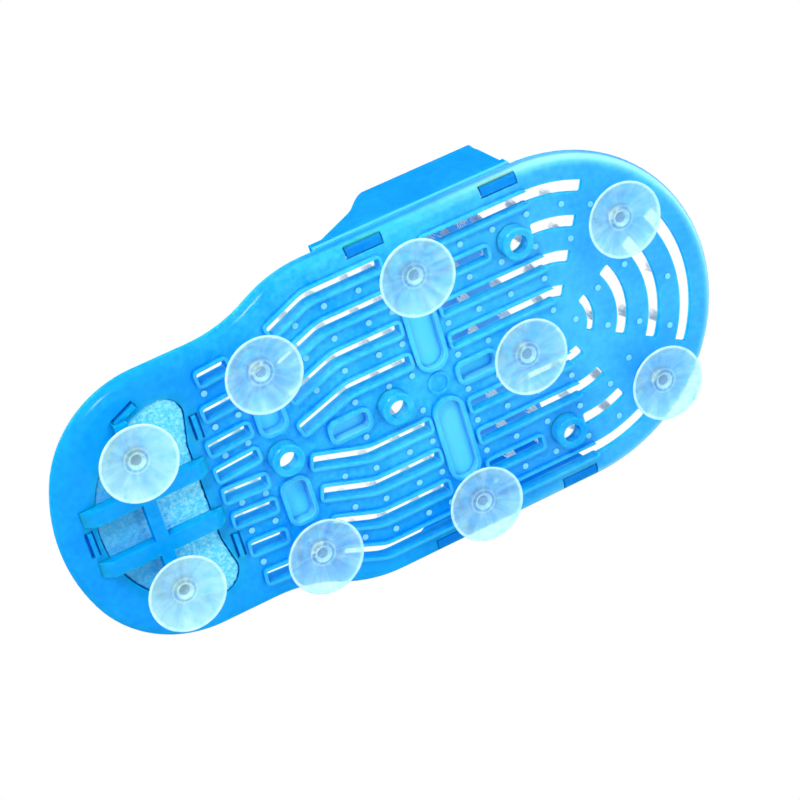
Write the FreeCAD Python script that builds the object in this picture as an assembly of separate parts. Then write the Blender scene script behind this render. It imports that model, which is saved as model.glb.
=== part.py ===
import FreeCAD, Part
import math
import os

V = FreeCAD.Vector

# Shower foot scrubber: a slipper-shaped tray that sticks to the shower floor on suction cups.
# +X points to the toes, +Z is up, and the floor is at Z = 0. The tray is the same left and right.

# Sole outline, seen from above
SOLE_LENGTH = 272.8
TOE_RADIUS = 67.3
HEEL_WIDTH_RATIO = 0.8113
HEEL_END_RATIO = 1.2821
HEEL_CORNER_RATIO = 0.8626
WAIST_BEND_RADIUS = 52.4
WAIST_FRONT_RATIO = -0.06305

# Tray section
FLOOR_GAP = 13.2
PLATE_THICKNESS = 2.3
RIM_HEIGHT = 6.0
RIM_WALL = 2.3
RIM_ROUND = 5.0
RIM_INNER_ROUND = 2.6
RIM_EDGE_ROUND = 0.7

# Places along the length, from its middle, as ratios of the sole's length
HEEL_CUPS_RATIO = -0.37133
ARCH_BAND_RATIO = -0.17632
REAR_AXIS_PAD_RATIO = -0.07588
REAR_SPARE_BOSS_RATIO = -0.00843
MID_BAND_RATIO = 0.06342
FRONT_AXIS_PAD_RATIO = 0.12207
CENTRE_CUP_RATIO = 0.18585
SPARE_BOSS_RATIO = 0.22251

# Places across the width, as ratios of the half width at the heel or of the toe radius
HEEL_CUPS_Y_RATIO = 0.511
ARCH_CUPS_Y_RATIO = 0.5795
MID_CUPS_Y_RATIO = 0.7236
SPARE_BOSS_Y_RATIO = 0.6092
TOE_CUPS_Y_RATIO = 0.5245
TOE_CUPS_AHEAD_RATIO = 0.474
FIRST_SLOT_RATIO = 0.208
SLOT_PITCH_RATIO = 0.2021
MID_PAD_Y_RATIO = 0.3551
ARCH_PAD_Y_RATIO = 0.2845

# Drain slots and the collars around them
SLOT_WIDTH = 4.9
SLOTS_A_SIDE = 4
SLOT_END_ROUND = 0.9
SLOT_BEND_RADIUS = 14.0
COLLAR_WALL = 1.2
COLLAR_DROP = 1.8
REAR_COLLAR_RISE = 2.7
FRONT_COLLAR_RISE = 1.1
HEEL_COLLAR_RISE = 3.8
REAR_SLOT_START = 9.5
REAR_SLOT_END = 8.6
REAR_SLOT_SPLAY = 6.9
REAR_SLOT_BEND = 21.8
REAR_SLOT_BEND_STEP = 1.7
FRONT_SLOT_START = 9.1
SLOT_INTO_ARC = 0.6
BOSS_SLOT_GAP = 11.0
BOSS_SLOT_GAP_AHEAD = 9.3
BOSS_SLOT_INTO_ARC = 3.6
FRONT_SLOT_TURN = 26.0
TOE_ARC_HALF_ANGLE = 31.0
INNER_TOE_ARC_WIDTH = 3.4
HEEL_SLOT_Y_RATIOS = (0.0815, 0.2802, 0.5293, 0.7821)
HEEL_SLOT_STARTS = (6.0, 6.4, 8.9, 11.0)
HEEL_SLOT_FRONT = 9.1
HEEL_SLOT_FAN = 4.0

# Raised hollow pads, open below
PAD_WALL = 1.5
PAD_ROOF = 1.2
PAD_EDGE = 0.8
MID_PAD_SIZE = (10.2, 33.0, 5.0)
MID_PAD_ROOF_UNDER = 1.7
ARCH_PAD_SIZE = (9.1, 16.5, 3.0)
ARCH_PAD_ROOF_UNDER = 3.5
AXIS_PAD_SIZE = (14.9, 6.8, 2.0)
AXIS_PAD_ROOF_UNDER = 3.6

# Blind rings under the middle band
MARK_RADIUS = 4.6
MARK_INNER_RADIUS = 3.4
MARK_DROP = 0.5
MARK_BEHIND = 1.2
MARK_Y_RATIO = 0.52

# Suction cup, its stem and the boss that holds it
CUP_RADIUS = 15.0
CUP_RIM_LAND = 0.7
CUP_LIP = 0.5
CUP_HOLLOW = 3.9
CUP_HUB_RADIUS = 2.6
CUP_HUB_SLOPE = 0.5
CUP_HUB_DROP = 0.9
CUP_RING_WIDTH = 0.9
CUP_RING_DROP = 0.7
CUP_SHOULDER_RADIUS = 5.3
CUP_SHOULDER_DROP = 1.8
STEM_RADIUS = 3.45
HOLE_RADIUS = 3.6
HEAD_RADIUS = 4.5
HEAD_HEIGHT = 2.4
HEAD_BAND = 0.9
HEAD_TIP_RADIUS = 3.1
BOSS_RADIUS = 6.3
BOSS_BOTTOM = 7.0
BOSS_WEB = 4.0
BOSS_EDGE = 0.5
WELL_RADIUS = 5.1
SEAT_CLEARANCE = 0.1

# Heel opening with its bars, the stone and the frame that holds it
HEEL_BORDER = 12.0
OPENING_CORNER_RADIUS = 9.0
# Places ahead of the heel cups, and half the front's width, as ratios of the opening's radius
OPENING_CENTRE_RATIO = 0.5164
OPENING_CORNER_RATIO = 0.3521
OPENING_FRONT_RATIO = 0.5
OPENING_HALF_RATIO = 0.4695
BAR_Y = 10.75
BAR_WIDTH = 6.0
CROSS_BAR_WIDTH = 5.0
BAR_BOTTOM = 8.8
BAR_INTO_PLATE = 0.8
BAR_OVERLAP = 4.0
BAR_END_HEIGHT = 0.4
STONE_CLEARANCE = 0.5
STONE_HEIGHT = 10.5
STONE_EDGE_ROUND = 2.5
FRAME_WALL = 3.9
FRAME_EDGE_ROUND = 1.0
FRAME_HEIGHT = 5.5
FRAME_EAR_THICKNESS = 2.2
FRAME_EAR_MARGIN = 1.2
SIDE_TAB_ANGLE = 65.7
TAB_RING_OUTSET = 3.4
TAB_SIZES = (3.6, 10.4)
FRONT_TAB_GAP = 5.1
FRONT_TAB_Y_RATIO = 0.467
TAB_CLEARANCE = 0.3
TAB_LEG = 1.6
BARB_REACH = 0.9
BARB_HEIGHT = 1.3

# Instep strap
STRAP_INSET = 1.0
STRAP_WALL = 2.5
STRAP_SIDE_HEIGHT = 23.4
SHOULDER_RADIUS = 50.0
CROWN_RADIUS = 110.0
STRAP_REAR_RATIO = -0.04142
STRAP_FRONT_RATIO = 0.25733
# Corners of the side view: (ratio of the strap's length, height above the rim)
STRAP_REAR_CORNERS = ((0.2969, 21.6), (0.454, 42.0), (0.6539, 109.0))
STRAP_FRONT_CORNERS = ((-0.0147, 30.0), (0.197, 109.0))
STRAP_SPARE = 5.0
STRAP_PROFILE_ROUND = 16.0
FLANGE_HEIGHT = 3.6
FLANGE_END_HEIGHT = 5.6
FLANGE_END_LENGTH = 9.0
FLANGE_PROUD = 1.1
FLANGE_WIDTH = 4.4
CLIP_WINDOW_LENGTH = 15.4
CLIP_REAR_RATIO = 0.0198
CLIP_FRONT_RATIO = 0.22507
CLIP_WINDOW_IN = 6.3
CLIP_WINDOW_OUT = 1.7
CLIP_LEG = 2.2
CLIP_DROP_GAP = 0.2
CLIP_BARB_SLOPE = 1.1
CLIP_SIDE_GAP = 0.6
CLIP_BARB_HEIGHT = 1.6

# Bristle tufts
TUFT_LENGTH = 13.0
TUFT_ROOT_RADIUS = 1.2
TUFT_TIP_RADIUS = 2.3
TUFT_SIDES = 6
STRAP_TUFT_LENGTH = 9.0
DIMPLE_RADIUS = 1.2
DIMPLE_HEIGHT = 0.4
DIMPLE_INTO_PLATE = 0.3
TUFT_LINE_SHIFT = 0.3
# Ratios of the gap from the arch band to the middle band, and from there to the toe centre
REAR_TUFT_RATIOS = (0.3165, 0.4924, 0.7095, 0.8593)
FRONT_TUFT_RATIOS = (0.1988, 0.4498, 0.7143)
FIRST_TUFT_BACK = 1.0
FIRST_TUFT_IN = 2.4
# Ratios of the gap from the heel opening to the arch band, and of the half width at the heel
HEEL_TUFTS = ((0.36, 0.1868), (0.6583, 0.1996), (0.36, 0.4103), (0.6583, 0.4212), (0.3668, 0.6667))
TOE_TUFT_ANGLES = ((), (22.7,), (21.0, 45.7, 66.0), (24.0, 58.4, 73.0))
STRAP_TUFT_ROWS = (0.596, 0.78, 0.964)
STRAP_TUFT_ANGLES = (-22.0, -15.0, -7.5, 0.0, 7.5, 15.0, 22.0)
STRAP_TUFT_GAP = 0.05

# Levels and places worked out from the sizes above
PLATE_TOP = FLOOR_GAP + PLATE_THICKNESS
RIM_TOP = FLOOR_GAP + RIM_HEIGHT
COLLAR_BOTTOM = FLOOR_GAP - COLLAR_DROP
HEEL_HALF_WIDTH = HEEL_WIDTH_RATIO * TOE_RADIUS
HEEL_END_RADIUS = HEEL_END_RATIO * HEEL_HALF_WIDTH
TOE_X = SOLE_LENGTH / 2 - TOE_RADIUS
HEEL_END_X = -SOLE_LENGTH / 2
WAIST_FRONT_X = WAIST_FRONT_RATIO * SOLE_LENGTH
HEEL_X = HEEL_CUPS_RATIO * SOLE_LENGTH
ARCH_BAND_X = ARCH_BAND_RATIO * SOLE_LENGTH
REAR_AXIS_PAD_X = REAR_AXIS_PAD_RATIO * SOLE_LENGTH
REAR_SPARE_BOSS_X = REAR_SPARE_BOSS_RATIO * SOLE_LENGTH
MID_BAND_X = MID_BAND_RATIO * SOLE_LENGTH
FRONT_AXIS_PAD_X = FRONT_AXIS_PAD_RATIO * SOLE_LENGTH
CENTRE_CUP_X = CENTRE_CUP_RATIO * SOLE_LENGTH
SPARE_BOSS_X = SPARE_BOSS_RATIO * SOLE_LENGTH
HEEL_CUPS_Y = HEEL_CUPS_Y_RATIO * HEEL_HALF_WIDTH
ARCH_CUPS_Y = ARCH_CUPS_Y_RATIO * TOE_RADIUS
MID_CUPS_Y = MID_CUPS_Y_RATIO * TOE_RADIUS
SPARE_BOSS_Y = SPARE_BOSS_Y_RATIO * TOE_RADIUS
TOE_CUPS_Y = TOE_CUPS_Y_RATIO * TOE_RADIUS
TOE_CUPS_AHEAD = TOE_CUPS_AHEAD_RATIO * TOE_RADIUS
MID_PAD_Y = MID_PAD_Y_RATIO * TOE_RADIUS
ARCH_PAD_Y = ARCH_PAD_Y_RATIO * TOE_RADIUS
WELL_FLOOR = BOSS_BOTTOM + BOSS_WEB
BAR_TOP = FLOOR_GAP + BAR_INTO_PLATE
OPENING_RADIUS = HEEL_HALF_WIDTH - HEEL_BORDER
OPENING_X = HEEL_X + OPENING_CENTRE_RATIO * OPENING_RADIUS
OPENING_FRONT_X = HEEL_X + OPENING_FRONT_RATIO * OPENING_RADIUS
STRAP_HALF_WIDTH = TOE_RADIUS - STRAP_INSET
STRAP_REAR_X = STRAP_REAR_RATIO * SOLE_LENGTH
STRAP_FRONT_X = STRAP_FRONT_RATIO * SOLE_LENGTH
STRAP_LENGTH = STRAP_FRONT_X - STRAP_REAR_X
CLIP_REAR_X = CLIP_REAR_RATIO * SOLE_LENGTH
CLIP_FRONT_X = CLIP_FRONT_RATIO * SOLE_LENGTH
CLIP_WINDOW_INNER = TOE_RADIUS - CLIP_WINDOW_IN
CLIP_WINDOW_OUTER = TOE_RADIUS - CLIP_WINDOW_OUT
SLOT_PITCH = SLOT_PITCH_RATIO * TOE_RADIUS
SLOT_LINES = tuple(FIRST_SLOT_RATIO * TOE_RADIUS + k * SLOT_PITCH for k in range(SLOTS_A_SIDE))
TUFT_LINES = tuple(y - SLOT_PITCH / 2 + TUFT_LINE_SHIFT for y in SLOT_LINES)

CUPS = {
    "suction_cup_heel_left": (HEEL_X, HEEL_CUPS_Y),
    "suction_cup_heel_right": (HEEL_X, -HEEL_CUPS_Y),
    "suction_cup_arch_left": (ARCH_BAND_X, ARCH_CUPS_Y),
    "suction_cup_arch_right": (ARCH_BAND_X, -ARCH_CUPS_Y),
    "suction_cup_middle_left": (MID_BAND_X, MID_CUPS_Y),
    "suction_cup_middle_right": (MID_BAND_X, -MID_CUPS_Y),
    "suction_cup_centre": (CENTRE_CUP_X, 0.0),
    "suction_cup_toe_left": (TOE_X + TOE_CUPS_AHEAD, TOE_CUPS_Y),
    "suction_cup_toe_right": (TOE_X + TOE_CUPS_AHEAD, -TOE_CUPS_Y),
}
SPARE_BOSSES = (
    (ARCH_BAND_X, 0.0),
    (REAR_SPARE_BOSS_X, 0.0),
    (SPARE_BOSS_X, SPARE_BOSS_Y),
    (SPARE_BOSS_X, -SPARE_BOSS_Y),
)


def polar(x, y, radius, degrees):
    """Point at an angle from +X about a centre in the plan view."""
    angle = math.radians(degrees)
    return V(x + radius * math.cos(angle), y + radius * math.sin(angle), 0)


def arc(x, y, radius, start, end):
    """Arc edge about a centre in the plan view, from one angle to another."""
    middle = (start + end) / 2
    return Part.Arc(polar(x, y, radius, start), polar(x, y, radius, middle),
                    polar(x, y, radius, end)).toShape()


def line(a, b):
    return Part.LineSegment(a, b).toShape()


def closed_face(edges):
    return Part.Face(Part.Wire(Part.__sortEdges__(edges)))


def prism(face, bottom, top):
    """Solid from a flat face, standing between two levels."""
    solid = face.extrude(V(0, 0, top - bottom))
    solid.translate(V(0, 0, bottom))
    return solid


def with_mirror(edges):
    """A half outline and its reflection across the long axis."""
    return edges + [edge.mirror(V(0, 0, 0), V(0, 1, 0)) for edge in edges]


def cylinder(x, y, radius, bottom, top):
    return Part.makeCylinder(radius, top - bottom, V(x, y, bottom))


def vertical_edges_at(solid, points):
    """Vertical edges that stand on the given plan points."""
    found = []
    for edge in solid.Edges:
        low = edge.Vertexes[0].Point
        high = edge.Vertexes[-1].Point
        if abs(low.x - high.x) > 1e-6 or abs(low.y - high.y) > 1e-6:
            continue
        if any(math.hypot(low.x - p.x, low.y - p.y) < 1e-4 for p in points):
            found.append(edge)
    return found


def both_sides(solids):
    """The given solids and their mirror images across the long axis."""
    return solids + [solid.mirror(V(0, 0, 0), V(0, 1, 0)) for solid in solids]


def sole_outline(inset):
    """Slipper outline, moved inwards by inset, made of arcs that meet smoothly."""
    bend_angle = math.degrees(math.acos(1 - (TOE_RADIUS - HEEL_HALF_WIDTH) / (2 * WAIST_BEND_RADIUS)))
    waist_rear_x = WAIST_FRONT_X - 2 * WAIST_BEND_RADIUS * math.sin(math.radians(bend_angle))
    corner_x = HEEL_END_X + HEEL_CORNER_RATIO * HEEL_HALF_WIDTH
    end_x = HEEL_END_X + HEEL_END_RADIUS
    reach = end_x - corner_x
    # The corner arc touches the side line and the end arc, which fixes its radius.
    corner_radius = ((HEEL_END_RADIUS ** 2 - HEEL_HALF_WIDTH ** 2 - reach ** 2)
                     / (2 * (HEEL_END_RADIUS - HEEL_HALF_WIDTH)))
    corner_y = HEEL_HALF_WIDTH - corner_radius
    turn = math.degrees(math.atan2(corner_y, -reach))
    toe_side = TOE_RADIUS - inset
    heel_side = HEEL_HALF_WIDTH - inset
    half = [
        arc(TOE_X, 0, toe_side, 0, 90),
        line(V(TOE_X, toe_side, 0), V(WAIST_FRONT_X, toe_side, 0)),
        arc(WAIST_FRONT_X, TOE_RADIUS - WAIST_BEND_RADIUS, WAIST_BEND_RADIUS - inset, 90, 90 + bend_angle),
        arc(waist_rear_x, HEEL_HALF_WIDTH + WAIST_BEND_RADIUS, WAIST_BEND_RADIUS + inset,
            270, 270 + bend_angle),
        line(V(waist_rear_x, heel_side, 0), V(corner_x, heel_side, 0)),
        arc(corner_x, corner_y, corner_radius - inset, 90, turn),
        arc(end_x, 0, HEEL_END_RADIUS - inset, turn, 180),
    ]
    return closed_face(with_mirror(half))


def level_edges(solid, level):
    """Edges that lie flat at one height."""
    return [edge for edge in solid.Edges
            if abs(edge.BoundBox.ZMin - level) < 1e-4 and abs(edge.BoundBox.ZMax - level) < 1e-4]


def tray():
    """Shallow tray: flat plate, rounded turn-up and a rounded rim."""
    outer = prism(sole_outline(0), FLOOR_GAP, RIM_TOP)
    outer = outer.makeFillet(RIM_ROUND, level_edges(outer, FLOOR_GAP))
    inner = prism(sole_outline(RIM_WALL), PLATE_TOP, RIM_TOP + RIM_HEIGHT)
    inner = inner.makeFillet(RIM_INNER_ROUND, level_edges(inner, PLATE_TOP))
    shell = outer.cut(inner)
    return shell.makeFillet(RIM_EDGE_ROUND, level_edges(shell, RIM_TOP))


def offset_corner(before, corner, after, side):
    """Point beside a corner of a path, at the distance side to its left."""
    inward = (corner - before).normalize()
    outward = (after - corner).normalize()
    left_in = V(-inward.y, inward.x, 0)
    left_out = V(-outward.y, outward.x, 0)
    mitre = left_in + left_out
    return corner + mitre * (side / (mitre.dot(left_in)))


def bent_band(points, width, bottom, top):
    """Upright band along a path of one or two runs, with square ends and a rounded bend."""
    half = width / 2
    start = points[0]
    end = points[-1]
    first = (points[1] - start).normalize()
    last = (end - points[-2]).normalize()
    ends = [start + V(-first.y, first.x, 0) * half, start - V(-first.y, first.x, 0) * half,
            end + V(-last.y, last.x, 0) * half, end - V(-last.y, last.x, 0) * half]
    if len(points) == 2:
        corners = [ends[0], ends[1], ends[3], ends[2]]
        bends = []
    else:
        left = offset_corner(start, points[1], end, half)
        right = offset_corner(start, points[1], end, -half)
        corners = [ends[0], ends[1], right, ends[3], ends[2], left]
        turn = first.x * last.y - first.y * last.x
        outer = SLOT_BEND_RADIUS + half
        inner = SLOT_BEND_RADIUS - half
        bends = [(left, inner if turn > 0 else outer), (right, outer if turn > 0 else inner)]
    solid = prism(Part.Face(Part.makePolygon(corners + corners[:1])), bottom, top)
    for point, radius in bends:
        solid = solid.makeFillet(radius, vertical_edges_at(solid, [point]))
    return solid, ends


def slot_and_collar(points, rise):
    """The cut for one drain slot and the collar that stands round it."""
    cut, corners = bent_band(points, SLOT_WIDTH, COLLAR_BOTTOM - 1, PLATE_TOP + rise + 1)
    cut = cut.makeFillet(SLOT_END_ROUND, vertical_edges_at(cut, corners))
    first = (points[1] - points[0]).normalize() * COLLAR_WALL
    last = (points[-1] - points[-2]).normalize() * COLLAR_WALL
    longer = [points[0] - first] + points[1:-1] + [points[-1] + last]
    collar, corners = bent_band(longer, SLOT_WIDTH + 2 * COLLAR_WALL, COLLAR_BOTTOM, PLATE_TOP + rise)
    collar = collar.makeFillet(SLOT_END_ROUND + COLLAR_WALL, vertical_edges_at(collar, corners))
    return cut, collar


def arc_slot(radius, start, end, width):
    """Cut for a slot that curves about the toe centre."""
    inner = radius - width / 2
    outer = radius + width / 2
    corners = [polar(TOE_X, 0, r, a) for r in (inner, outer) for a in (start, end)]
    face = closed_face([
        arc(TOE_X, 0, inner, start, end),
        line(polar(TOE_X, 0, inner, end), polar(TOE_X, 0, outer, end)),
        arc(TOE_X, 0, outer, start, end),
        line(polar(TOE_X, 0, inner, start), polar(TOE_X, 0, outer, start)),
    ])
    cut = prism(face, COLLAR_BOTTOM - 1, PLATE_TOP + FRONT_COLLAR_RISE + 1)
    return cut.makeFillet(SLOT_END_ROUND, vertical_edges_at(cut, corners))


def rear_slots():
    """Slots from the arch band to the middle band, splayed at the waist."""
    made = []
    for k, y in enumerate(SLOT_LINES):
        start = V(ARCH_BAND_X + REAR_SLOT_START, y - REAR_SLOT_SPLAY, 0)
        bend = V(start.x + REAR_SLOT_BEND - REAR_SLOT_BEND_STEP * k, y, 0)
        end = V(MID_BAND_X - REAR_SLOT_END, y, 0)
        made.append(slot_and_collar([start, bend, end], REAR_COLLAR_RISE))
    return made


def front_slots():
    """Straight slots from the middle band to the toe centre, and one gap for a spare boss."""
    start_x = MID_BAND_X + FRONT_SLOT_START
    made = []
    for y in SLOT_LINES:
        runs = [(start_x, TOE_X + SLOT_INTO_ARC)]
        if abs(y - SPARE_BOSS_Y) < SLOT_WIDTH:
            runs = [(start_x, SPARE_BOSS_X - BOSS_SLOT_GAP),
                    (SPARE_BOSS_X + BOSS_SLOT_GAP_AHEAD, TOE_X + BOSS_SLOT_INTO_ARC)]
        for low, high in runs:
            if high - low > SLOT_WIDTH:
                made.append(slot_and_collar([V(low, y, 0), V(high, y, 0)], FRONT_COLLAR_RISE))
    return made


def heel_slots():
    """Short slots between the heel opening and the arch band, fanned a little outwards."""
    made = []
    for ratio, start in zip(HEEL_SLOT_Y_RATIOS, HEEL_SLOT_STARTS):
        y = ratio * HEEL_HALF_WIDTH
        low = V(OPENING_FRONT_X + start, y, 0)
        high_x = ARCH_BAND_X - HEEL_SLOT_FRONT
        high = V(high_x, y + (high_x - low.x) * math.tan(math.radians(HEEL_SLOT_FAN)), 0)
        made.append(slot_and_collar([low, high], HEEL_COLLAR_RISE))
    return made


def toe_cuts():
    """Curved slots round the toe centre: side turns of the long slots, and rings at the tip."""
    cuts = []
    for y in SLOT_LINES:
        cuts.append(arc_slot(y, 90 - FRONT_SLOT_TURN, 90, SLOT_WIDTH))
    return cuts


def toe_rings():
    cuts = [arc_slot(SLOT_LINES[0], -TOE_ARC_HALF_ANGLE, TOE_ARC_HALF_ANGLE, INNER_TOE_ARC_WIDTH)]
    for radius in SLOT_LINES[1:]:
        cuts.append(arc_slot(radius, -TOE_ARC_HALF_ANGLE, TOE_ARC_HALF_ANGLE, SLOT_WIDTH))
    return cuts


def rounded_pad(x, y, size, grow, bottom, top):
    """Upright block with rounded corners, larger than size by grow all round."""
    length = size[0] + 2 * grow
    width = size[1] + 2 * grow
    block = Part.makeBox(length, width, top - bottom, V(x - length / 2, y - width / 2, bottom))
    upright = [edge for edge in block.Edges if edge.BoundBox.ZLength > top - bottom - 1e-6]
    return block.makeFillet(size[2] + grow, upright)


def pads():
    """Raised hollow pads: the walls that stand up, and the hollows cut from below."""
    places = [(MID_BAND_X, side * MID_PAD_Y, MID_PAD_SIZE, MID_PAD_ROOF_UNDER) for side in (1, -1)]
    places += [(ARCH_BAND_X, side * ARCH_PAD_Y, ARCH_PAD_SIZE, ARCH_PAD_ROOF_UNDER) for side in (1, -1)]
    places += [(x, 0, AXIS_PAD_SIZE, AXIS_PAD_ROOF_UNDER) for x in (REAR_AXIS_PAD_X, FRONT_AXIS_PAD_X)]
    walls = []
    hollows = []
    for x, y, size, under in places:
        roof = FLOOR_GAP + under
        wall = rounded_pad(x, y, size, PAD_WALL, COLLAR_BOTTOM, roof + PAD_ROOF)
        walls.append(wall.makeChamfer(PAD_EDGE, level_edges(wall, roof + PAD_ROOF)))
        hollows.append(rounded_pad(x, y, size, 0, COLLAR_BOTTOM - 1, roof))
    return walls, hollows


def blind_rings():
    """Low rings under the middle band, where a mould could leave more cup places."""
    rings = []
    for side in (-1, 0, 1):
        x = MID_BAND_X - MARK_BEHIND * abs(side)
        y = side * MARK_Y_RATIO * TOE_RADIUS
        ring = cylinder(x, y, MARK_RADIUS, FLOOR_GAP - MARK_DROP, FLOOR_GAP + MARK_DROP)
        rings.append(ring.cut(cylinder(x, y, MARK_INNER_RADIUS, FLOOR_GAP - 1, FLOOR_GAP + 1)))
    return rings


def heel_opening(grow):
    """Outline of the heel opening, moved outwards by grow."""
    corner_x = HEEL_X + OPENING_CORNER_RATIO * OPENING_RADIUS
    gap = OPENING_X - corner_x
    corner_y = math.sqrt((OPENING_RADIUS - OPENING_CORNER_RADIUS) ** 2 - gap ** 2)
    turn = math.degrees(math.atan2(corner_y, -gap))
    corner = OPENING_CORNER_RADIUS + grow
    bulge = V(corner_x + corner, corner_y, 0)
    straight = V(OPENING_FRONT_X + grow, OPENING_HALF_RATIO * OPENING_RADIUS, 0)
    half = [
        arc(OPENING_X, 0, OPENING_RADIUS + grow, turn, 180),
        arc(corner_x, corner_y, corner, 0, turn),
        line(bulge, straight),
        line(straight, V(straight.x, 0, 0)),
    ]
    return closed_face(with_mirror(half))


def heel_bars():
    """Two long bars and a cross bar below the heel opening, which carry the heel bosses."""
    rear_x = OPENING_X - OPENING_RADIUS - BAR_OVERLAP
    front_x = OPENING_FRONT_X + BAR_OVERLAP
    height = BAR_TOP - BAR_BOTTOM
    bars = []
    for side in (1, -1):
        bar = Part.makeBox(front_x - rear_x, BAR_WIDTH, height,
                           V(rear_x, side * BAR_Y - BAR_WIDTH / 2, BAR_BOTTOM))
        low_ends = [edge for edge in level_edges(bar, BAR_BOTTOM) if edge.BoundBox.XLength < 1e-6]
        bars.append(bar.makeChamfer(height - BAR_INTO_PLATE - BAR_END_HEIGHT, low_ends))
    cross = Part.makeBox(CROSS_BAR_WIDTH, 2 * HEEL_CUPS_Y, height,
                         V(HEEL_X - CROSS_BAR_WIDTH / 2, -HEEL_CUPS_Y, BAR_BOTTOM))
    arms = []
    for side in (1, -1):
        # A short arm carries each boss on outwards to the plate.
        reach = HEEL_CUPS_Y + OPENING_CORNER_RADIUS + BAR_OVERLAP
        y = HEEL_CUPS_Y if side > 0 else -reach
        arms.append(Part.makeBox(CROSS_BAR_WIDTH, reach - HEEL_CUPS_Y, height,
                                 V(HEEL_X - CROSS_BAR_WIDTH / 2, y, BAR_BOTTOM)))
    return bars + [cross] + arms


def tab_places():
    """Plan place and turn of each snap window round the heel opening."""
    ring = OPENING_RADIUS + TAB_RING_OUTSET
    places = [(polar(OPENING_X, 0, ring, 180), 180.0)]
    for side in (1, -1):
        angle = side * (180 - SIDE_TAB_ANGLE)
        places.append((polar(OPENING_X, 0, ring, angle), angle))
        front = V(OPENING_FRONT_X + FRONT_TAB_GAP, side * FRONT_TAB_Y_RATIO * HEEL_HALF_WIDTH, 0)
        places.append((front, 0.0))
    return places


def turned_box(place, turn, deep, wide, bottom, top, inset=0.0):
    """Box set at a plan point, deep along its turned axis and wide across it."""
    box = Part.makeBox(deep, wide, top - bottom, V(-deep / 2 + inset, -wide / 2, bottom))
    box.rotate(V(0, 0, 0), V(0, 0, 1), turn)
    box.translate(place)
    return box


def tab_windows():
    return [turned_box(place, turn, TAB_SIZES[0], TAB_SIZES[1], COLLAR_BOTTOM - 1, PLATE_TOP + 1)
            for place, turn in tab_places()]


def clip_places():
    return [(x, side) for x in (CLIP_REAR_X, CLIP_FRONT_X) for side in (1, -1)]


def clip_windows():
    """Windows in the side of the tray for the strap's clips."""
    cuts = []
    wide = CLIP_WINDOW_OUTER - CLIP_WINDOW_INNER
    for x, side in clip_places():
        y = CLIP_WINDOW_INNER if side > 0 else -CLIP_WINDOW_OUTER
        cuts.append(Part.makeBox(CLIP_WINDOW_LENGTH, wide, RIM_HEIGHT + 2,
                                 V(x - CLIP_WINDOW_LENGTH / 2, y, FLOOR_GAP - 1)))
    return cuts


def boss_places():
    """Plan places of the bosses, apart from the two that the heel bridge carries."""
    return [(x, y) for x, y in list(CUPS.values()) + list(SPARE_BOSSES) if x > HEEL_X + BOSS_RADIUS]


def bosses(places, top):
    """Bosses with a through hole and a wider well above it, one at each place."""
    made = []
    for x, y in places:
        boss = cylinder(x, y, BOSS_RADIUS, BOSS_BOTTOM, top)
        boss = boss.makeChamfer(BOSS_EDGE, level_edges(boss, BOSS_BOTTOM))
        hole = cylinder(x, y, HOLE_RADIUS, BOSS_BOTTOM - 1, WELL_FLOOR + 1)
        made.append(boss.cut([hole, cylinder(x, y, WELL_RADIUS, WELL_FLOOR, top + 1)]))
    return made


def open_tray():
    """The tray with the heel opening cut through it."""
    return tray().cut(prism(heel_opening(0), COLLAR_BOTTOM - 1, PLATE_TOP + 1))


def heel_bridge():
    """Bars across the heel opening, with the two bosses that they carry."""
    places = [(HEEL_X, HEEL_CUPS_Y), (HEEL_X, -HEEL_CUPS_Y)]
    bars = heel_bars()
    cores = [cylinder(x, y, BOSS_RADIUS - BOSS_EDGE, BAR_BOTTOM - 1, BAR_TOP + 1) for x, y in places]
    body = bars[0].fuse(bars[1:]).cut(cores).fuse(bosses(places, BAR_TOP))
    return body.cut([open_tray()] + tab_windows()).removeSplitter()


def tuft_rows():
    """Plan places of the sole tufts, grouped by the part of the sole that they stand on."""
    groups = {"rear": [], "front": [], "toe": [], "heel": []}
    for k, y in enumerate(TUFT_LINES):
        for step, ratio in enumerate(REAR_TUFT_RATIOS):
            x = ARCH_BAND_X + ratio * (MID_BAND_X - ARCH_BAND_X)
            if step:
                groups["rear"].append((x, y))
            elif k:
                # The first tuft of a row follows the splay of the slots.
                groups["rear"].append((x - FIRST_TUFT_BACK, y - FIRST_TUFT_IN))
        for ratio in FRONT_TUFT_RATIOS:
            groups["front"].append((MID_BAND_X + ratio * (TOE_X - MID_BAND_X), y))
        groups["front"].append((TOE_X - TUFT_LINE_SHIFT, y))
    gap = ARCH_BAND_X - OPENING_FRONT_X
    groups["heel"] = [(OPENING_FRONT_X + ahead * gap, ratio * HEEL_HALF_WIDTH) for ahead, ratio in HEEL_TUFTS]
    for radius, angles in zip(TUFT_LINES, TOE_TUFT_ANGLES):
        for angle in angles:
            point = polar(TOE_X, 0, radius, angle)
            groups["toe"].append((point.x, point.y))
    return groups


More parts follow.
